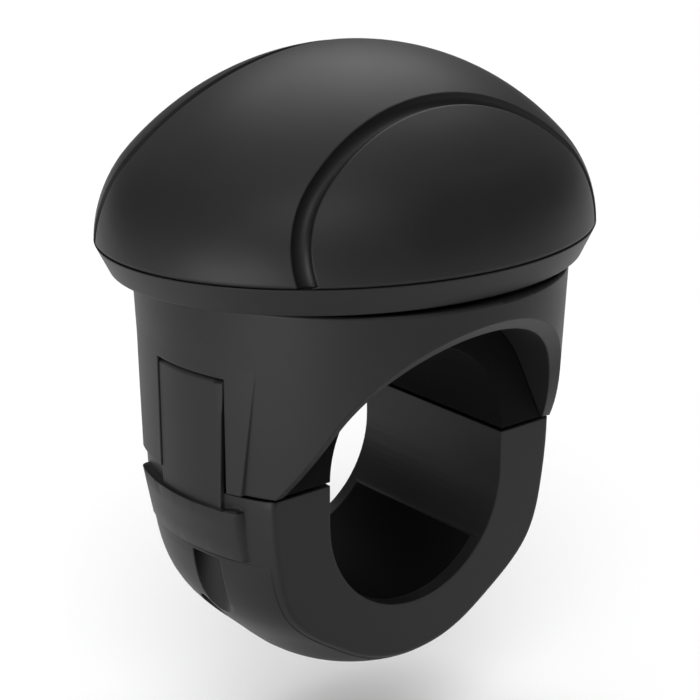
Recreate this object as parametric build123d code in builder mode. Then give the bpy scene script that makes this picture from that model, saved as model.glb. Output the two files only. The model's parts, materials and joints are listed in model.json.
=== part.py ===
from build123d import *
import math
import os

# A spinner knob that clamps on the rim of a steering wheel.
# The origin is the centre of the rim bore, +Z runs up the spin axis and the bore runs along Y.
os.makedirs("parts", exist_ok=True)

# Rim bore and clamp halves
rim_r = 15.0
rim_drop = 6.0
clamp_depth = 29.0
split_gap = 0.5
pad_wall = 2.0
pad_flange = 1.3
pad_play = 0.1
inset_pad_wall = 1.2
inset_pad_lip = 2.0
inset_pad_span = 100.0

# Saddle body
mouth_run = 2.147297
barrel_draft = 0.95
crown_wall = 4.8
saddle_land = 1.0
dish_run = 3.5
dish_drop = 1.2
arch_lip = 3.3
arch_splay = 2.3
arch_bevel = 1.7
barrel_top_round = 0.4
pilaster_proud = 0.65
pilaster_foot_w = 22.4
pilaster_top_w = 27.0
pilaster_top = 18.0
core_depth = 8.0
core_long = 8.0
core_wide = 4.5
core_wall = 1.75
core_rib = 1.6

# Clamp half
bowl_wall = 10.7
bowl_shoulder_inset = 0.7
bowl_shoulder_rise = 21.7
bowl_belly_inset = 3.0
bowl_belly_rise = 13.7
bowl_hip_inset = 8.5
bowl_hip_rise = 7.7
clamp_wall = 8.4
clamp_side_drop = 5.0
clamp_edge = 0.8
boss_proud = 0.4
boss_taper = 1.3
boss_width = 21.8
boss_top = -2.2
boss_foot = -9.2
boss_round = 1.2
arm_front_y = -8.7
arm_front_foot_y = -7.9
arm_back_y = 3.6
arm_wall = 1.8
arm_top = 15.0
arm_inset = 0.15
arm_play = 0.35
arm_front_play = 0.45
arm_back_play = 0.15
arm_nose = 0.5

# Clamp screws, M3 by 12, one each side
screw_wall = 0.1
screw_shank_r = 1.45
screw_head_r = 2.75
screw_head_h = 3.0
screw_length = 12.0
screw_socket_r = 1.44
screw_socket_depth = 1.5
screw_head_room = 1.5
screw_tip_room = 1.0
washer_r = 3.2
washer_h = 0.5
counterbore_play = 0.15
scoop_shift = 0.9
scoop_r = 4.4
scoop_step = 0.4
thread_play = 0.05
screw_play = 0.2
insert_r = 2.1
insert_h = 6.0
insert_groove = 0.3
insert_collar_h = 1.8

# Spindle
bolt_r = 2.95
bolt_head_r = 5.5
bolt_head_h = 2.6
bolt_neck = 6.0
bolt_neck_h = 2.6
bolt_head_room = 0.4
bolt_tip_over_nut = 1.5
bolt_play = 0.05
nut_flats = 10.0
nut_h = 5.0
spindle_washer_h = 1.2
post_r = 7.5
post_h = 0.8
spacer_inset = 0.3
spacer_h = 1.9

# Ball bearing, 6 x 19 x 6
bearing_r = 9.5
bearing_h = 6.0
race_gap = 2.7
race_bite = 0.4
ball_count = 7
race_play = 0.05
ball_play = 0.08
cage_play = 0.55
cage_skirt = 1.2
cage_crown = 2.3
shield_h = 0.3
shield_inset = 0.2
shield_seat = 0.3
shield_play = 0.1
bearing_round = 0.3

# Cap
cap_reach = 22.5
cap_ratio = 0.852
cap_gap = 0.6
band_h = 3.6
band_taper = 1.8
dome_round = 0.5
dome_h = 23.9
shoulder_run = 4.8
crown_drop = 12.8
dome_wall = 2.6
groove_r = 1.25
groove_front_y = 17.2
groove_front_lean = 14.1
groove_back_y = 5.3
groove_back_lean = 15.0
cap_base_h = 2.2
hub_wall = 3.1
hub_lip = 1.3
hub_rise = 1.3
clip_h = 1.0
clip_wall = 1.3
clip_groove = 0.6
clip_mouth = 40.0
rib_count = 8
rib_w = 1.4
cap_screw_inset = 16.1
cap_screw_skew = 5.0
cap_screw_r = 1.25
cap_screw_head_r = 2.5
cap_screw_head_h = 1.0
cap_screw_length = 9.0
cap_screw_play = 0.15
cross_long = 2.0
cross_wide = 0.4
cap_boss_r = 3.0
cap_lip_wall = 1.4
cap_lip_h = 1.0
cap_wall_foot = 2.0
seam = 0.05

# Places worked out from the sizes above
half_depth = clamp_depth / 2
leg_foot = split_gap / 2
clamp_top = -split_gap / 2
saddle_bore_r = rim_r + pad_wall + pad_play
bolt_seat = rim_r + pad_wall + bolt_head_room + bolt_head_h
saddle_top = bolt_seat + crown_wall
arch_r = saddle_bore_r + arch_lip
arch_foot_x = arch_r + arch_splay
barrel_foot_r = math.hypot(arch_foot_x, half_depth + mouth_run)
barrel_top_r = barrel_foot_r + barrel_draft
pilaster_r = barrel_foot_r + pilaster_proud
core_x = barrel_top_r - saddle_land - dish_run - core_wall - core_wide / 2
bowl_r = barrel_foot_r - arm_inset
bowl_pole_z = -(rim_drop + rim_r + bowl_wall)
boss_top_r = pilaster_r + boss_proud
boss_foot_r = boss_top_r - boss_taper
arm_face = pilaster_r - arm_inset
arm_back = arm_face - arm_wall
arm_foot = boss_foot / 2
screw_x = arm_back - screw_wall - counterbore_play - washer_r
scoop_x = screw_x + scoop_shift
scoop_roof = boss_foot - scoop_step
screw_seat = scoop_roof + screw_head_room + screw_head_h + washer_h
cap_foot = saddle_top + cap_gap
cap_rim = cap_foot + band_h
dish_floor = saddle_top - dish_drop
post_top = dish_floor + post_h
bearing_foot = post_top + spacer_h
bearing_top = bearing_foot + bearing_h
bearing_mid = bearing_foot + bearing_h / 2
nut_foot = bearing_top + spindle_washer_h
bearing_bore_r = bolt_r + bolt_play
ball_track_r = (bearing_bore_r + bearing_r) / 2
race_wall = (bearing_r - bearing_bore_r - race_gap) / 2
ball_r = race_gap / 2 + race_bite
cage_wall = race_gap / 2 - cage_play
spacer_r = bearing_bore_r + race_wall - spacer_inset
hub_r = bearing_r + hub_wall
hub_floor_r = bearing_r - hub_lip
cap_a = hub_r + cap_reach
cap_screw_x = cap_a - cap_screw_inset
cap_screw_y = cap_screw_x - cap_screw_skew
crown_reach = cap_a - shoulder_run
crown_r = (crown_reach**2 + crown_drop**2) / (2 * crown_drop)
crown_turn = math.asin(crown_reach / crown_r)


def dome_curve(inset):
    """Profile of the dome as a crown arc and a shoulder arc, from the crown down to the rim."""
    hip = (
        crown_reach - inset * math.sin(crown_turn),
        cap_rim + dome_h - crown_drop - inset * math.cos(crown_turn),
    )
    crown = TangentArc((0, cap_rim + dome_h - inset), hip, tangent=(1, 0))
    shoulder = TangentArc(hip, (cap_a - inset, cap_rim), tangent=crown % 1)
    return crown, shoulder


# Saddle body: a barrel with an arched rim bore, slots for the clamp arms and a dished top
with BuildPart(mode=Mode.PRIVATE) as pilasters:
    with BuildSketch(Plane.YZ):
        with BuildLine():
            Polyline(
                (-pilaster_foot_w / 2, leg_foot),
                (pilaster_foot_w / 2, leg_foot),
                (pilaster_top_w / 2, pilaster_top),
                (-pilaster_top_w / 2, pilaster_top),
                close=True,
            )
        make_face()
    extrude(amount=barrel_top_r, both=True)
    with BuildSketch(Plane.XY.offset(leg_foot)):
        Circle(pilaster_r)
        Circle(screw_x, mode=Mode.SUBTRACT)
    extrude(amount=pilaster_top, mode=Mode.INTERSECT)

with BuildPart() as saddle_body:
    with BuildSketch(Plane.XZ) as barrel_profile:
        with BuildLine():
            Polyline(
                (0, leg_foot),
                (barrel_foot_r, leg_foot),
                (barrel_top_r, saddle_top),
                (barrel_top_r - saddle_land, saddle_top),
                (barrel_top_r - saddle_land - dish_run, dish_floor),
                (post_r, dish_floor),
                (post_r, post_top),
                (0, post_top),
                close=True,
            )
        make_face()
        fillet(
            barrel_profile.vertices().sort_by_distance((barrel_top_r, saddle_top))[0],
            barrel_top_round,
        )
    revolve(axis=Axis.Z)
    add(pilasters.part)
    with BuildSketch(Plane.XZ):
        Circle(saddle_bore_r)
    extrude(amount=barrel_top_r, both=True, mode=Mode.SUBTRACT)
    for side in (1, -1):
        with BuildSketch(Plane.XZ.offset(side * (half_depth - pad_flange - pad_play))):
            with BuildLine():
                CenterArc((0, 0), arch_r, 0, 180)
                Line((-arch_foot_x, 0), (arch_foot_x, 0))
            make_hull()
        extrude(amount=side * barrel_top_r, mode=Mode.SUBTRACT)
    arch_edges = (
        saddle_body.edges()
        .filter_by(lambda e: math.hypot((e @ 0.5).X, (e @ 0.5).Y) > barrel_foot_r - arm_inset)
        .filter_by(lambda e: abs((e @ 0.5).X) < arch_foot_x)
        .filter_by(lambda e: abs((e @ 0.5).Y) > half_depth)
        .filter_by(lambda e: leg_foot + seam < (e @ 0.5).Z < dish_floor)
    )
    chamfer(arch_edges, arch_bevel)
    with Locations((-pilaster_r, arm_back_y, 0), (pilaster_r, arm_back_y, 0)):
        with Locations((0, arm_back_play, 0)):
            Box(
                2 * (arm_wall + arm_inset + arm_play),
                arm_back_play + arm_back_y - arm_front_y + arm_front_play,
                2 * (arm_top + arm_play),
                align=(Align.CENTER, Align.MAX, Align.CENTER),
                mode=Mode.SUBTRACT,
            )
    with BuildSketch(Plane.XY.offset(dish_floor)):
        with GridLocations(2 * core_x, core_long + core_rib, 2, 2):
            RectangleRounded(core_wide, core_long, core_rib)
    extrude(amount=-core_depth, mode=Mode.SUBTRACT)
    with Locations((-screw_x, 0, leg_foot), (screw_x, 0, leg_foot)):
        Cylinder(
            insert_r, insert_h, align=(Align.CENTER, Align.CENTER, Align.MIN), mode=Mode.SUBTRACT
        )
        Cylinder(
            screw_shank_r + screw_play,
            screw_seat - washer_h + screw_length + screw_tip_room - leg_foot,
            align=(Align.CENTER, Align.CENTER, Align.MIN),
            mode=Mode.SUBTRACT,
        )
    with BuildSketch(Plane.XY):
        Circle(bolt_head_r + pad_play)
    extrude(amount=bolt_seat, mode=Mode.SUBTRACT)
    with BuildSketch(Plane.XY.offset(bolt_seat)):
        Rectangle(bolt_neck + 2 * bolt_play, bolt_neck + 2 * bolt_play)
    extrude(amount=bolt_neck_h, mode=Mode.SUBTRACT)
    with BuildSketch(Plane.XY.offset(bolt_seat)):
        Circle(bolt_r + bolt_play)
    extrude(amount=saddle_top, mode=Mode.SUBTRACT)
saddle_body.part.label = "saddle_body"
export_step(saddle_body.part, "parts/saddle_body.step")


# Saddle pad: a rubber half sleeve with a flange at each mouth
with BuildPart() as saddle_pad:
    with BuildSketch(Plane.XZ):
        Circle(rim_r + pad_wall)
    extrude(amount=half_depth, both=True)
    for side in (1, -1):
        with BuildSketch(Plane.XZ.offset(side * (half_depth - pad_flange))):
            with BuildLine():
                CenterArc((0, 0), arch_r - pad_play, 0, 180)
                Line((-arch_foot_x + pad_play, 0), (arch_foot_x - pad_play, 0))
            make_hull()
        extrude(amount=side * pad_flange)
    with BuildSketch(Plane.XZ):
        Circle(rim_r)
    extrude(amount=half_depth, both=True, mode=Mode.SUBTRACT)
    split(bisect_by=Plane.XY.offset(leg_foot), keep=Keep.TOP)
saddle_pad.part.label = "saddle_pad"
export_step(saddle_pad.part, "parts/saddle_pad.step")


# Spindle: a square-necked bolt through the crown of the saddle, with its spacer, washer and nut
with BuildPart() as spindle_bolt:
    with BuildSketch(Plane.XY.offset(bolt_seat)):
        Circle(bolt_head_r)
    extrude(amount=-bolt_head_h)
    fillet(spindle_bolt.edges().group_by(Axis.Z)[0], bolt_head_h / 3)
    with BuildSketch(Plane.XY.offset(bolt_seat)):
        Rectangle(bolt_neck, bolt_neck)
    extrude(amount=bolt_neck_h)
    with BuildSketch(Plane.XY.offset(bolt_seat)):
        Circle(bolt_r)
    extrude(amount=nut_foot + nut_h + bolt_tip_over_nut - bolt_seat)
    chamfer(spindle_bolt.edges().group_by(Axis.Z)[-1], bolt_r / 5)
spindle_bolt.part.label = "spindle_bolt"
export_step(spindle_bolt.part, "parts/spindle_bolt.step")

with BuildPart() as spindle_spacer:
    with BuildSketch(Plane.XY.offset(post_top)):
        Circle(spacer_r)
        Circle(bolt_r + bolt_play, mode=Mode.SUBTRACT)
    extrude(amount=spacer_h)
spindle_spacer.part.label = "spindle_spacer"
export_step(spindle_spacer.part, "parts/spindle_spacer.step")

with BuildPart() as spindle_washer:
    with BuildSketch(Plane.XY.offset(bearing_top)):
        Circle(bearing_bore_r + race_wall)
        Circle(bolt_r + bolt_play, mode=Mode.SUBTRACT)
    extrude(amount=spindle_washer_h)
spindle_washer.part.label = "spindle_washer"
export_step(spindle_washer.part, "parts/spindle_washer.step")

with BuildPart() as spindle_nut:
    with BuildSketch(Plane.XY.offset(nut_foot)):
        RegularPolygon(radius=nut_flats / 2, side_count=6, major_radius=False)
        Circle(bolt_r + bolt_play, mode=Mode.SUBTRACT)
    extrude(amount=nut_h)
spindle_nut.part.label = "spindle_nut"
export_step(spindle_nut.part, "parts/spindle_nut.step")


# Ball bearing: the inner ring stays on the spindle and the outer ring turns with the cap
with BuildPart() as bearing_inner_ring:
    with BuildSketch(Plane.XY.offset(bearing_foot)):
        Circle(bearing_bore_r + race_wall)
        Circle(bearing_bore_r, mode=Mode.SUBTRACT)
    extrude(amount=bearing_h)
    chamfer(bearing_inner_ring.edges().group_by(Axis.Z)[0], bearing_round / 2)
    chamfer(bearing_inner_ring.edges().group_by(Axis.Z)[-1], bearing_round / 2)
    with Locations((0, 0, bearing_mid)):
        Torus(ball_track_r, ball_r + race_play, mode=Mode.SUBTRACT)
bearing_inner_ring.part.label = "bearing_inner_ring"
export_step(bearing_inner_ring.part, "parts/bearing_inner_ring.step")

with BuildPart() as bearing_outer_ring:
    with BuildSketch(Plane.XY.offset(bearing_foot)):
        Circle(bearing_r)
        Circle(bearing_r - race_wall, mode=Mode.SUBTRACT)
    extrude(amount=bearing_h)
    for face_z, inward in ((bearing_foot, 1), (bearing_top, -1)):
        with BuildSketch(Plane.XY.offset(face_z)):
            Circle(bearing_r - race_wall + shield_seat)
        extrude(amount=inward * (shield_inset + shield_h), mode=Mode.SUBTRACT)
    with Locations((0, 0, bearing_mid)):
        Torus(ball_track_r, ball_r + race_play, mode=Mode.SUBTRACT)
bearing_outer_ring.part.label = "bearing_outer_ring"
export_step(bearing_outer_ring.part, "parts/bearing_outer_ring.step")

with BuildPart() as bearing_balls:
    with Locations((0, 0, bearing_mid)):
        with PolarLocations(ball_track_r, ball_count):
            Sphere(ball_r)
bearing_balls.part.label = "bearing_balls"
export_step(bearing_balls.part, "parts/bearing_balls.step")

with BuildPart() as bearing_cage:
    with BuildSketch(Plane.XY.offset(bearing_mid - cage_skirt)):
        Circle(ball_track_r + cage_wall)
        Circle(ball_track_r - cage_wall, mode=Mode.SUBTRACT)
    extrude(amount=cage_skirt + cage_crown)
    with Locations((0, 0, bearing_mid)):
        with PolarLocations(ball_track_r, ball_count):
            Sphere(ball_r + ball_play, mode=Mode.SUBTRACT)
bearing_cage.part.label = "bearing_cage"
export_step(bearing_cage.part, "parts/bearing_cage.step")

with BuildPart() as bearing_shields:
    for shield_z in (bearing_foot + shield_inset, bearing_top - shield_inset - shield_h):
        with BuildSketch(Plane.XY.offset(shield_z)):
            Circle(bearing_r - race_wall + shield_seat)
            Circle(bearing_bore_r + race_wall + shield_play, mode=Mode.SUBTRACT)
        extrude(amount=shield_h)
bearing_shields.part.label = "bearing_shields"
export_step(bearing_shields.part, "parts/bearing_shields.step")

clip_cut = 2 * bearing_r
with BuildPart() as bearing_clip:
    with BuildSketch(Plane.XY.offset(bearing_top)):
        Circle(bearing_r + clip_groove)
        Circle(bearing_r + clip_groove - clip_wall, mode=Mode.SUBTRACT)
        Polygon(
            (0, 0),
            (clip_cut, clip_cut * math.tan(math.radians(clip_mouth / 2))),
            (clip_cut, -clip_cut * math.tan(math.radians(clip_mouth / 2))),
            align=None,
            mode=Mode.SUBTRACT,
        )
    extrude(amount=clip_h)
bearing_clip.part.label = "bearing_clip"
export_step(bearing_clip.part, "parts/bearing_clip.step")


# Cap base: an oval pan with a tapered band, a ribbed floor and the bearing hub
hub_top = bearing_top + clip_h + hub_rise
pan_floor = cap_foot + cap_base_h
with BuildPart() as cap_base:
    with BuildSketch(Plane.XZ):
        with BuildLine():
            Polyline(
                (0, cap_foot),
                (cap_a - band_taper, cap_foot),
                (cap_a, cap_rim),
                (cap_a - cap_wall_foot, cap_rim),
                (cap_a - cap_wall_foot, pan_floor),
                (0, pan_floor),
                close=True,
            )
        make_face()
    revolve(axis=Axis.Z)
    scale(by=(1, cap_ratio, 1))
    with BuildSketch(Plane.XY.offset(cap_foot)):
        Circle(hub_r)
    extrude(amount=hub_top - cap_foot)
    rib_reach = cap_a * cap_ratio - cap_wall_foot - cap_lip_wall - 2 * seam - hub_r
    with Locations((0, 0, pan_floor)):
        with PolarLocations(hub_r + rib_reach / 2 - rib_w / 2, rib_count, 180 / rib_count):
            Box(rib_reach, rib_w, cap_lip_h, align=(Align.CENTER, Align.CENTER, Align.MIN))
    with BuildSketch(Plane.XY.offset(bearing_foot)):
        Circle(bearing_r + seam)
    extrude(amount=hub_top, mode=Mode.SUBTRACT)
    with BuildSketch(Plane.XY.offset(bearing_top)):
        Circle(bearing_r + clip_groove + seam)
    extrude(amount=clip_h + seam, mode=Mode.SUBTRACT)
    with BuildSketch(Plane.XY.offset(cap_foot)):
        Circle(hub_floor_r)
    extrude(amount=cap_base_h, mode=Mode.SUBTRACT)
    with BuildSketch(Plane.XY.offset(cap_foot)):
        with GridLocations(2 * cap_screw_x, 2 * cap_screw_y, 2, 2):
            Circle(cap_screw_head_r + cap_screw_play)
    extrude(amount=cap_screw_head_h + cap_screw_play, mode=Mode.SUBTRACT)
    with BuildSketch(Plane.XY.offset(cap_foot)):
        with GridLocations(2 * cap_screw_x, 2 * cap_screw_y, 2, 2):
            Circle(cap_screw_r + cap_screw_play)
    extrude(amount=cap_base_h, mode=Mode.SUBTRACT)
cap_base.part.label = "cap_base"
export_step(cap_base.part, "parts/cap_base.step")


# Cap dome: an oval hollow dome with a groove round each of its two side lobes.
# It is cut while it is round, so everything in Y is stretched first and squeezed with it.
stretch = 1 / cap_ratio
with BuildPart(mode=Mode.PRIVATE) as dome_form:
    with BuildSketch(Plane.XZ):
        with BuildLine():
            form_curve = dome_curve(0)
            Polyline(form_curve[1] @ 1, (0, cap_rim), form_curve[0] @ 0)
        make_face()
    revolve(axis=Axis.Z)

with BuildPart() as cap_dome:
    with BuildSketch(Plane.XZ) as dome_profile:
        with BuildLine():
            outer = dome_curve(0)
            inner = dome_curve(dome_wall)
            Line(outer[0] @ 0, inner[0] @ 0)
            lip_x = cap_a - cap_wall_foot - seam
            lip_foot = cap_rim - cap_lip_h
            Polyline(
                outer[1] @ 1,
                (lip_x, cap_rim),
                (lip_x, lip_foot),
                (lip_x - cap_lip_wall, lip_foot),
                (lip_x - cap_lip_wall, cap_rim),
                inner[1] @ 1,
            )
        make_face()
        fillet(dome_profile.vertices().sort_by_distance((cap_a, cap_rim))[0], dome_round)
    revolve(axis=Axis.Z)
    for groove_y, groove_lean in (
        (-groove_front_y, groove_front_lean),
        (groove_back_y, groove_back_lean),
    ):
        side = math.copysign(1, groove_y)
        lean = math.atan(math.tan(math.radians(groove_lean)) * stretch)
        groove_z = cap_rim + dome_h - crown_r + math.sqrt(crown_r**2 - (groove_y * stretch) ** 2)
        groove_plane = Plane(
            origin=(0, groove_y * stretch, groove_z),
            x_dir=(1, 0, 0),
            z_dir=(0, side * math.cos(lean), math.sin(lean)),
        )
        lobe_cut = section(dome_form.part, section_by=groove_plane, mode=Mode.PRIVATE)
        groove_path = Wire(lobe_cut.edges().filter_by(GeomType.LINE, reverse=True))
        with BuildSketch(Plane(origin=groove_path @ 0, z_dir=groove_path % 0)):
            Circle(groove_r)
        sweep(path=groove_path, mode=Mode.SUBTRACT)
    with BuildSketch(Plane.XY.offset(pan_floor + seam)):
        with GridLocations(2 * cap_screw_x, 2 * cap_screw_y * stretch, 2, 2):
            Ellipse(cap_boss_r, cap_boss_r * stretch)
    extrude(until=Until.NEXT)
    with BuildSketch(Plane.XY.offset(pan_floor + seam)):
        with GridLocations(2 * cap_screw_x, 2 * cap_screw_y * stretch, 2, 2):
            Ellipse(cap_screw_r + thread_play, (cap_screw_r + thread_play) * stretch)
    extrude(amount=cap_screw_length, mode=Mode.SUBTRACT)
    scale(by=(1, cap_ratio, 1))
cap_dome.part.label = "cap_dome"
export_step(cap_dome.part, "parts/cap_dome.step")

with BuildPart() as cap_screws:
    with BuildSketch(Plane.XY.offset(cap_foot + cap_screw_play)):
        with GridLocations(2 * cap_screw_x, 2 * cap_screw_y, 2, 2):
            Circle(cap_screw_head_r)
    extrude(amount=cap_screw_head_h)
    with BuildSketch(Plane.XY.offset(cap_foot + cap_screw_play)):
        with GridLocations(2 * cap_screw_x, 2 * cap_screw_y, 2, 2):
            Circle(cap_screw_r)
    extrude(amount=cap_screw_length)
    with BuildSketch(Plane.XY.offset(cap_foot + cap_screw_play)):
        with GridLocations(2 * cap_screw_x, 2 * cap_screw_y, 2, 2):
            Rectangle(cross_long, cross_wide)
            Rectangle(cross_wide, cross_long)
    extrude(amount=cap_screw_head_h / 2, mode=Mode.SUBTRACT)
cap_screws.part.label = "cap_screws"
export_step(cap_screws.part, "parts/cap_screws.step")


# Clamp half: a round-bottomed lower jaw with two guide arms and a boss round each screw
with BuildPart(mode=Mode.PRIVATE) as arms:
    with BuildSketch(Plane.XZ):
        with BuildLine():
            Polyline(
                (saddle_bore_r, arm_foot),
                (arm_face, arm_foot),
                (arm_face, arm_top - arm_nose),
                (arm_face - arm_nose, arm_top),
                (saddle_bore_r, arm_top),
                close=True,
            )
        make_face()
    revolve(axis=Axis.Z)
    with BuildSketch(Plane.YZ):
        with BuildLine():
            Polyline(
                (arm_front_foot_y, arm_foot),
                (arm_back_y, arm_foot),
                (arm_back_y, arm_top),
                (arm_front_y, arm_top),
                close=True,
            )
        make_face()
    extrude(amount=barrel_top_r, both=True, mode=Mode.INTERSECT)
    Box(2 * arm_back, 2 * barrel_top_r, 4 * arm_top, mode=Mode.SUBTRACT)

with BuildPart(mode=Mode.PRIVATE) as bosses:
    with BuildSketch(Plane.XZ):
        with BuildLine():
            Polyline(
                (arm_back, boss_foot),
                (boss_foot_r, boss_foot),
                (boss_top_r, boss_top),
                (arm_back, boss_top),
                close=True,
            )
        make_face()
    revolve(axis=Axis.Z)
    with BuildSketch(Plane.XY.offset(boss_foot)):
        Rectangle(4 * boss_top_r, boss_width)
    extrude(amount=boss_top - boss_foot, mode=Mode.INTERSECT)
    corner_x = math.sqrt(boss_foot_r**2 - (boss_width / 2) ** 2)
    fillet(
        bosses.edges()
        .filter_by(lambda e: abs((e @ 0.5).X) > corner_x - seam)
        .filter_by(lambda e: abs(abs((e @ 0.5).Y) - boss_width / 2) < seam)
        .filter_by(lambda e: boss_foot + seam < (e @ 0.5).Z < boss_top - seam),
        boss_round,
    )

with BuildPart() as clamp_half:
    with BuildSketch(Plane.XZ):
        with BuildLine():
            bowl = Spline(
                (bowl_r, clamp_top),
                (bowl_r - bowl_shoulder_inset, bowl_pole_z + bowl_shoulder_rise),
                (bowl_r - bowl_belly_inset, bowl_pole_z + bowl_belly_rise),
                (bowl_r - bowl_hip_inset, bowl_pole_z + bowl_hip_rise),
                (0, bowl_pole_z),
                tangents=[(0, -1), (-1, 0)],
            )
            Polyline(bowl @ 1, (0, clamp_top), bowl @ 0)
        make_face()
    revolve(axis=Axis.Z)
    with BuildSketch(Plane.XZ):
        side_arc_h = clamp_wall + rim_r + rim_drop - clamp_side_drop
        with Locations((0, -clamp_side_drop)):
            Ellipse(bowl_r, side_arc_h)
            Rectangle(2 * bowl_r, clamp_side_drop, align=(Align.CENTER, Align.MIN))
    extrude(amount=half_depth, both=True, mode=Mode.INTERSECT)
    for jaw_face in (clamp_half.faces().sort_by(Axis.Y)[0], clamp_half.faces().sort_by(Axis.Y)[-1]):
        fillet(jaw_face.edges().filter_by(GeomType.LINE, reverse=True), clamp_edge)
    add(bosses.part)
    add(arms.part)
    with BuildSketch(Plane.XZ):
        with Locations((0, -rim_drop)):
            Circle(rim_r)
            Rectangle(2 * rim_r, 2 * rim_drop, align=(Align.CENTER, Align.MIN))
    extrude(amount=2 * half_depth, both=True, mode=Mode.SUBTRACT)
    pad_seat_half = half_depth - inset_pad_lip
    seat_run = 2 * rim_r * math.tan(math.radians(inset_pad_span / 2))
    with BuildSketch(Plane.XZ) as pad_seat:
        with Locations((0, -rim_drop)):
            Circle(rim_r + inset_pad_wall)
            Polygon(
                (0, 0), (seat_run, -2 * rim_r), (-seat_run, -2 * rim_r), align=None, mode=Mode.INTERSECT
            )
    extrude(amount=pad_seat_half, both=True, mode=Mode.SUBTRACT)
    with BuildSketch(Plane.XY.offset(scoop_roof)):
        with Locations((-scoop_x, 0), (scoop_x, 0)):
            Circle(scoop_r)
    extrude(amount=bowl_pole_z, mode=Mode.SUBTRACT)
    with BuildSketch(Plane.XY.offset(screw_seat)):
        with Locations((-screw_x, 0), (screw_x, 0)):
            Circle(washer_r + counterbore_play)
    extrude(amount=scoop_roof - screw_seat, mode=Mode.SUBTRACT)
    with BuildSketch(Plane.XY.offset(scoop_roof)):
        with Locations((-screw_x, 0), (screw_x, 0)):
            Circle(screw_shank_r + screw_play)
    extrude(amount=-scoop_roof, mode=Mode.SUBTRACT)
clamp_half.part.label = "clamp_half"
export_step(clamp_half.part, "parts/clamp_half.step")

with BuildPart() as clamp_pad:
    with BuildSketch(Plane.XZ):
        with Locations((0, -rim_drop)):
            Circle(rim_r + inset_pad_wall)
            Circle(rim_r, mode=Mode.SUBTRACT)
            Polygon(
                (0, 0), (seat_run, -2 * rim_r), (-seat_run, -2 * rim_r), align=None, mode=Mode.INTERSECT
            )
    extrude(amount=pad_seat_half - seam, both=True)
clamp_pad.part.label = "clamp_pad"
export_step(clamp_pad.part, "parts/clamp_pad.step")


# Clamp fasteners: screws from below through the scoops into inserts in the saddle's legs
washer_foot = screw_seat - washer_h
with BuildPart() as clamp_washers:
    with BuildSketch(Plane.XY.offset(washer_foot)):
        with Locations((-screw_x, 0), (screw_x, 0)):
            Circle(washer_r)
            Circle(screw_shank_r + thread_play, mode=Mode.SUBTRACT)
    extrude(amount=washer_h)
clamp_washers.part.label = "clamp_washers"
export_step(clamp_washers.part, "parts/clamp_washers.step")

with BuildPart() as clamp_screws:
    with BuildSketch(Plane.XY.offset(washer_foot)):
        with Locations((-screw_x, 0), (screw_x, 0)):
            Circle(screw_head_r)
    extrude(amount=-screw_head_h)
    with BuildSketch(Plane.XY.offset(washer_foot)):
        with Locations((-screw_x, 0), (screw_x, 0)):
            Circle(screw_shank_r)
    extrude(amount=screw_length)
    with BuildSketch(Plane.XY.offset(washer_foot - screw_head_h)):
        with Locations((-screw_x, 0), (screw_x, 0)):
            RegularPolygon(radius=screw_socket_r, side_count=6)
    extrude(amount=screw_socket_depth, mode=Mode.SUBTRACT)
clamp_screws.part.label = "clamp_screws"
export_step(clamp_screws.part, "parts/clamp_screws.step")

with BuildPart() as threaded_inserts:
    with BuildSketch(Plane.XY.offset(leg_foot)):
        with Locations((-screw_x, 0), (screw_x, 0)):
            Circle(insert_r)
    extrude(amount=insert_h)
    with BuildSketch(Plane.XY.offset(leg_foot + insert_collar_h)):
        with Locations((-screw_x, 0), (screw_x, 0)):
            Circle(insert_r)
            Circle(insert_r - insert_groove, mode=Mode.SUBTRACT)
    extrude(amount=insert_h - 2 * insert_collar_h, mode=Mode.SUBTRACT)
    with BuildSketch(Plane.XY.offset(leg_foot)):
        with Locations((-screw_x, 0), (screw_x, 0)):
            Circle(screw_shank_r + thread_play)
    extrude(amount=insert_h, mode=Mode.SUBTRACT)
threaded_inserts.part.label = "threaded_inserts"
export_step(threaded_inserts.part, "parts/threaded_inserts.step")
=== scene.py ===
import json
import math

import bmesh
import bpy
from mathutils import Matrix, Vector


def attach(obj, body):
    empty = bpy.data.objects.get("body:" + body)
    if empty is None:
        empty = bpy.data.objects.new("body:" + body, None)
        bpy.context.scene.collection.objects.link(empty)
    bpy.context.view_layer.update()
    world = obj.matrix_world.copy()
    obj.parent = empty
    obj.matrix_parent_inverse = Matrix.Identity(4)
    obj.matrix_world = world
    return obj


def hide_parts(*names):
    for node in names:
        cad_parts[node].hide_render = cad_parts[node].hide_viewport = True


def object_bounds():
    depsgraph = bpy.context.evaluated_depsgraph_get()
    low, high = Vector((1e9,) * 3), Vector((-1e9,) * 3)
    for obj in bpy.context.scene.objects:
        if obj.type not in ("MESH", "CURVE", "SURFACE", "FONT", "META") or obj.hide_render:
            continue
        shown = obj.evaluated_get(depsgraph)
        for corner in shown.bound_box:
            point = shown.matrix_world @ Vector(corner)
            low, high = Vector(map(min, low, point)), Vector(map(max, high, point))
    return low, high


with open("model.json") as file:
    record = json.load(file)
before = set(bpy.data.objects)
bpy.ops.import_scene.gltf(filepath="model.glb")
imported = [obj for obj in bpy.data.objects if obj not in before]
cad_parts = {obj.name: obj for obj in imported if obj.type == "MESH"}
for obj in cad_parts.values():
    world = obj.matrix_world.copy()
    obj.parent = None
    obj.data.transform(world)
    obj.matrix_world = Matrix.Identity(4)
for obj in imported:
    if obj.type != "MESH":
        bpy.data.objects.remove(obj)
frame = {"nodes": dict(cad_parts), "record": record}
cad_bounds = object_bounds()
nodes = frame["nodes"]
mm = 0.001

# The floor lies under the clamp half at its full drop
clamp_travel = 15 * mm
floor_gap = 0.2 * mm
floor_size = 12

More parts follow.
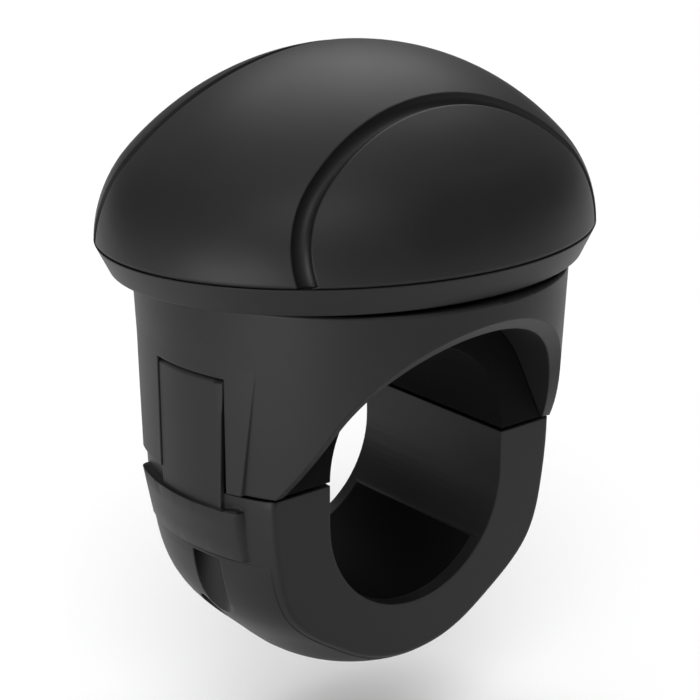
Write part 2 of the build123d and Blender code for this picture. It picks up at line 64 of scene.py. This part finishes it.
# The clamp half's fuller form, in millimetres.
# The belly turns about the spin axis, in (radius, height) pairs from its foot up.
belly_profile = (
    (13.16, -29.48), (14.16, -28.86), (15.48, -27.9), (17.09, -26.46), (18.76, -24.84),
    (20.17, -23.5), (21.42, -22.34), (22.4, -21.38), (23.31, -20.4), (24.02, -19.57),
    (24.72, -18.6), (25.45, -17.35), (25.91, -16.33), (26.29, -15.28), (26.66, -14.01),
    (26.99, -12.51), (27.24, -11.02), (27.4, -9.62),
)
belly_half_y = 13.5
bore_z = -6.0
bore_clear_r = 16.3
bore_sides = 192
screw_x = 23.4
key_r = 1.7
key_roof = -9.5
key_sides = 48
scallop_x = 26.4
scallop_y = -3.7
scallop_r = 2.6
scallop_roof = -10.0
cutter_foot = -40
cutter_span = 0.1 / mm
weld_reach = 0.0005
sharp_angle = math.radians(20)

# Camera, as fitted to the photograph
photo_px = 700
focal_px = 1741.0
sensor_w = 36.0
view_azimuth = math.radians(-38.99)
view_elevation = math.radians(18.63)
view_distance = 237.25 * mm
view_target = Vector((0, 0, 10.98 * mm))


def shader(name):
    """A new material with its node tree and its Principled shader."""
    material = bpy.data.materials.new(name)
    material.use_nodes = True
    tree = material.node_tree
    return material, tree, tree.nodes["Principled BSDF"]


def node(tree, kind, **values):
    """A node of that kind, with its named inputs set."""
    made = tree.nodes.new(kind)
    for key, value in values.items():
        made.inputs[key.replace("_", " ")].default_value = value
    return made


def noise(tree, scale, detail=2.0, rough=0.5):
    """Noise in object space, so that it is fixed to the surface."""
    place = tree.nodes.new("ShaderNodeTexCoord")
    made = node(tree, "ShaderNodeTexNoise", Scale=scale, Detail=detail, Roughness=rough)
    tree.links.new(place.outputs["Object"], made.inputs["Vector"])
    return made


def spread(tree, source, low, high):
    """The source's middle range mapped to low..high."""
    made = node(tree, "ShaderNodeMapRange", From_Min=0.3, From_Max=0.7, To_Min=low, To_Max=high)
    tree.links.new(source, made.inputs["Value"])
    return made.outputs["Result"]


def tint(tree, source, dark, light):
    """A colour between dark and light by the source's middle range."""
    ramp = tree.nodes.new("ShaderNodeValToRGB")
    ramp.color_ramp.elements[0].position = 0.3
    ramp.color_ramp.elements[0].color = (*dark, 1)
    ramp.color_ramp.elements[1].position = 0.7
    ramp.color_ramp.elements[1].color = (*light, 1)
    tree.links.new(source, ramp.inputs["Fac"])
    return ramp.outputs["Color"]


def soft_edges(tree, radius):
    """Normals rounded over the edges by that radius."""
    made = tree.nodes.new("ShaderNodeBevel")
    made.samples = 6
    made.inputs["Radius"].default_value = radius
    return made.outputs["Normal"]


def moulded_plastic(name, dark, light, gloss, edge):
    """Satin moulding with fine spark-eroded grain, faint flow marks and softened edges."""
    material, tree, surface = shader(name)
    grain = noise(tree, 5200, 3.0, 0.6)
    flow = noise(tree, 60, 2.0)
    bump = node(tree, "ShaderNodeBump", Strength=0.12, Distance=0.03 * mm)
    tree.links.new(grain.outputs["Fac"], bump.inputs["Height"])
    tree.links.new(soft_edges(tree, edge), bump.inputs["Normal"])
    tree.links.new(bump.outputs["Normal"], surface.inputs["Normal"])
    tree.links.new(tint(tree, flow.outputs["Fac"], dark, light), surface.inputs["Base Color"])
    tree.links.new(spread(tree, flow.outputs["Fac"], *gloss), surface.inputs["Roughness"])
    surface.inputs["Specular IOR Level"].default_value = 0.26
    return material


def rubber(name):
    """Matte black rubber with a fine grained skin, its colour set darker than real rubber as
    painted shade for the deep saddle recess.
    """
    material, tree, surface = shader(name)
    grain = noise(tree, 3000, 4.0, 0.7)
    bump = node(tree, "ShaderNodeBump", Strength=0.35, Distance=0.05 * mm)
    tree.links.new(grain.outputs["Fac"], bump.inputs["Height"])
    tree.links.new(soft_edges(tree, 0.3 * mm), bump.inputs["Normal"])
    tree.links.new(bump.outputs["Normal"], surface.inputs["Normal"])
    # Random grain tone, kept near zero as painted shade so the pad inside the saddle reads as deep
    # shadow
    colour = tint(tree, grain.outputs["Fac"], (0.002, 0.002, 0.002), (0.004, 0.004, 0.004))
    tree.links.new(colour, surface.inputs["Base Color"])
    tree.links.new(spread(tree, grain.outputs["Fac"], 0.7, 0.85), surface.inputs["Roughness"])
    surface.inputs["Specular IOR Level"].default_value = 0.06
    return material


def metal(name, dark, light, gloss, shine=1.0):
    """Turned or plated metal with a faintly uneven finish."""
    material, tree, surface = shader(name)
    grain = noise(tree, 2500, 3.0)
    bump = node(tree, "ShaderNodeBump", Strength=0.1, Distance=0.01 * mm)
    tree.links.new(grain.outputs["Fac"], bump.inputs["Height"])
    tree.links.new(soft_edges(tree, 0.15 * mm), bump.inputs["Normal"])
    tree.links.new(bump.outputs["Normal"], surface.inputs["Normal"])
    tree.links.new(tint(tree, grain.outputs["Fac"], dark, light), surface.inputs["Base Color"])
    tree.links.new(spread(tree, grain.outputs["Fac"], *gloss), surface.inputs["Roughness"])
    surface.inputs["Metallic"].default_value = shine
    return material


def finish_nodes():
    """Gives each carried-over node its material, and returns the black moulding's."""
    black, dull_black = (0.006, 0.006, 0.0065), (0.009, 0.009, 0.0095)
    shell = moulded_plastic("satin_black", black, dull_black, (0.46, 0.52), 0.35 * mm)
    pad = rubber("black_rubber_painted_shade")
    zinc = metal("zinc_plate", (0.42, 0.43, 0.45), (0.60, 0.61, 0.62), (0.28, 0.42))
    soot, slate = (0.012, 0.012, 0.013), (0.03, 0.03, 0.032)
    oxide = metal("black_oxide", soot, slate, (0.35, 0.5), 0.6)
    ground = metal("ground_steel", (0.5, 0.5, 0.51), (0.65, 0.65, 0.66), (0.15, 0.25))
    brass = metal("brass", (0.45, 0.30, 0.10), (0.60, 0.42, 0.16), (0.25, 0.4))
    ivory, cream = (0.60, 0.58, 0.50), (0.70, 0.68, 0.60)
    nylon = moulded_plastic("nylon", ivory, cream, (0.4, 0.5), 0.15 * mm)
    by_slot = {
        "shell_plastic": shell,
        "pad_rubber": pad,
        "fastener_steel": zinc,
        "black_screw_steel": oxide,
        "bearing_steel": ground,
        "insert_brass": brass,
        "cage_plastic": nylon,
    }
    for part in frame["record"]["subparts"]:
        piece = nodes[part["node"]]
        piece.data.materials.clear()
        piece.data.materials.append(by_slot[part["material_slot"]])
    return shell


def new_piece(name, verts, faces):
    """A mesh object from its vertices and faces, in metres."""
    mesh = bpy.data.meshes.new(name)
    mesh.from_pydata(verts, [], faces)
    mesh.update()
    piece = bpy.data.objects.new(name, mesh)
    bpy.context.collection.objects.link(piece)
    return piece


def pillar(name, x, y, radius, foot, top, steps=96):
    """An upright cylinder, sizes in millimetres."""
    turn = [2 * math.pi * i / steps for i in range(steps)]
    ring = [(x + radius * math.cos(a), y + radius * math.sin(a)) for a in turn]
    verts = [(u * mm, v * mm, z * mm) for z in (foot, top) for u, v in ring]
    sides = [(i, (i + 1) % steps, steps + (i + 1) % steps, steps + i) for i in range(steps)]
    ends = [tuple(range(steps))[::-1], tuple(range(steps, 2 * steps))]
    return new_piece(name, verts, sides + ends)


def lathe(name, profile, steps=360):
    """A solid of revolution about the spin axis, from (radius, height) pairs in millimetres."""
    verts = []
    faces = []
    for i in range(steps):
        turn = 2 * math.pi * i / steps
        verts += [(r * mm * math.cos(turn), r * mm * math.sin(turn), z * mm) for r, z in profile]
    rows = len(profile)
    for i in range(steps):
        here, there = i * rows, (i + 1) % steps * rows
        faces += [(here + j, there + j, there + j + 1, here + j + 1) for j in range(rows - 1)]
    faces.append(tuple(i * rows for i in range(steps))[::-1])
    faces.append(tuple(i * rows + rows - 1 for i in range(steps)))
    return new_piece(name, verts, faces)


def carve(piece, tool, operation):
    """The piece joined with, cut by or kept inside the tool, which is then removed."""
    step = piece.modifiers.new(operation, "BOOLEAN")
    step.operation = operation
    step.object = tool
    step.solver = "EXACT"
    shaped = piece.evaluated_get(bpy.context.evaluated_depsgraph_get())
    mesh = bpy.data.meshes.new_from_object(shaped)
    piece.modifiers.clear()
    piece.data = mesh
    bpy.data.objects.remove(tool)


def clamp_shell(material):
    """The clamp half with the photograph's fuller belly, its scallops and the key channels."""
    shell = bpy.data.objects.new("clamp_shell", nodes["clamp_half"].data.copy())
    bpy.context.collection.objects.link(shell)
    weld = bmesh.new()
    weld.from_mesh(shell.data)
    bmesh.ops.remove_doubles(weld, verts=weld.verts, dist=weld_reach * mm)
    weld.to_mesh(shell.data)
    weld.free()
    belly = lathe("belly", belly_profile)
    bpy.ops.mesh.primitive_cube_add(size=1)
    slab = bpy.context.object
    slab.dimensions = (cutter_span * mm, 2 * belly_half_y * mm, cutter_span * mm)
    carve(belly, slab, "INTERSECT")
    bpy.ops.mesh.primitive_cylinder_add(
        vertices=bore_sides, radius=bore_clear_r * mm, depth=cutter_span * mm,
        location=(0, 0, bore_z * mm), rotation=(math.pi / 2, 0, 0),
    )
    carve(belly, bpy.context.object, "DIFFERENCE")
    carve(shell, belly, "UNION")
    for side in (-1, 1):
        key = pillar("key", side * screw_x, 0, key_r, cutter_foot, key_roof, key_sides)
        carve(shell, key, "DIFFERENCE")
        place = (side * scallop_x, scallop_y)
        carve(shell, pillar("scallop", *place, scallop_r, cutter_foot, scallop_roof), "DIFFERENCE")
    for face in shell.data.polygons:
        face.use_smooth = True
    shell.data.set_sharp_from_angle(angle=sharp_angle)
    even = shell.modifiers.new("even_normals", "WEIGHTED_NORMAL")
    even.keep_sharp = True
    even.weight = 100
    shell.data.materials.clear()
    shell.data.materials.append(material)
    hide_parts("clamp_half")
    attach(shell, "clamp")


def stage_floor(shade, drop):
    """A plain pale floor, that far under the lowest point at rest."""
    lowest = cad_bounds[0][2]
    bpy.ops.mesh.primitive_plane_add(size=floor_size, location=(0, 0, lowest - drop))
    floor = bpy.context.object
    floor.name = "floor"
    material, _, surface = shader("floor")
    surface.inputs["Base Color"].default_value = (shade, shade, shade, 1)
    surface.inputs["Roughness"].default_value = 1.0
    surface.inputs["Specular IOR Level"].default_value = 0.0
    floor.data.materials.append(material)


def stage_world(low, high):
    """A surround that brightens evenly from the horizon to overhead."""
    world = bpy.data.worlds.new("surround")
    bpy.context.scene.world = world
    world.use_nodes = True
    tree = world.node_tree
    back = tree.nodes["Background"]
    place = tree.nodes.new("ShaderNodeTexCoord")
    split = tree.nodes.new("ShaderNodeSeparateXYZ")
    tree.links.new(place.outputs["Generated"], split.inputs["Vector"])
    rise = node(tree, "ShaderNodeMapRange", From_Min=0.0, From_Max=1.0, To_Min=low, To_Max=high)
    tree.links.new(split.outputs["Z"], rise.inputs["Value"])
    tree.links.new(rise.outputs["Result"], back.inputs["Strength"])
    back.inputs["Color"].default_value = (1, 1, 1, 1)


def soft_sun(name, toward, angle, strength):
    """A broad even light from that direction, its angle in degrees."""
    lamp = bpy.data.lights.new(name, "SUN")
    lamp.angle = math.radians(angle)
    lamp.energy = strength
    holder = bpy.data.objects.new(name, lamp)
    holder.rotation_euler = Vector(toward).to_track_quat("Z", "Y").to_euler()
    bpy.context.collection.objects.link(holder)


def softbox(name, place, size, watts, aim=(0, 0, 0)):
    """A rectangular lamp at that place, aimed at a point, all in metres."""
    lamp = bpy.data.lights.new(name, "AREA")
    lamp.shape = "RECTANGLE"
    lamp.size, lamp.size_y = size
    lamp.energy = watts
    holder = bpy.data.objects.new(name, lamp)
    holder.location = place
    holder.rotation_euler = (Vector(aim) - Vector(place)).to_track_quat("-Z", "Y").to_euler()
    bpy.context.collection.objects.link(holder)


def set_camera():
    """The photograph's view."""
    lens = bpy.data.cameras.new("camera")
    lens.sensor_width = sensor_w
    lens.lens = focal_px / photo_px * sensor_w
    lens.clip_start = mm
    camera = bpy.data.objects.new("camera", lens)
    away = Vector((
        math.sin(view_azimuth) * math.cos(view_elevation),
        -math.cos(view_azimuth) * math.cos(view_elevation),
        math.sin(view_elevation),
    ))
    camera.location = view_target + view_distance * away
    camera.rotation_euler = (-away).to_track_quat("-Z", "Y").to_euler()
    bpy.context.collection.objects.link(camera)
    bpy.context.scene.camera = camera


clamp_shell(finish_nodes())
stage_floor(0.95, clamp_travel + floor_gap)
stage_world(0.08, 0.5)
soft_sun("overhead", (0.40, 0.40, 0.82), 50, 1.7)
soft_sun("front", (-0.42, -0.52, 0.75), 40, 1.1)
softbox("left_softbox", (-0.42, -0.12, 0.0), (0.3, 0.1), 1.0)
set_camera()
bpy.context.scene.view_settings.view_transform = "Standard"
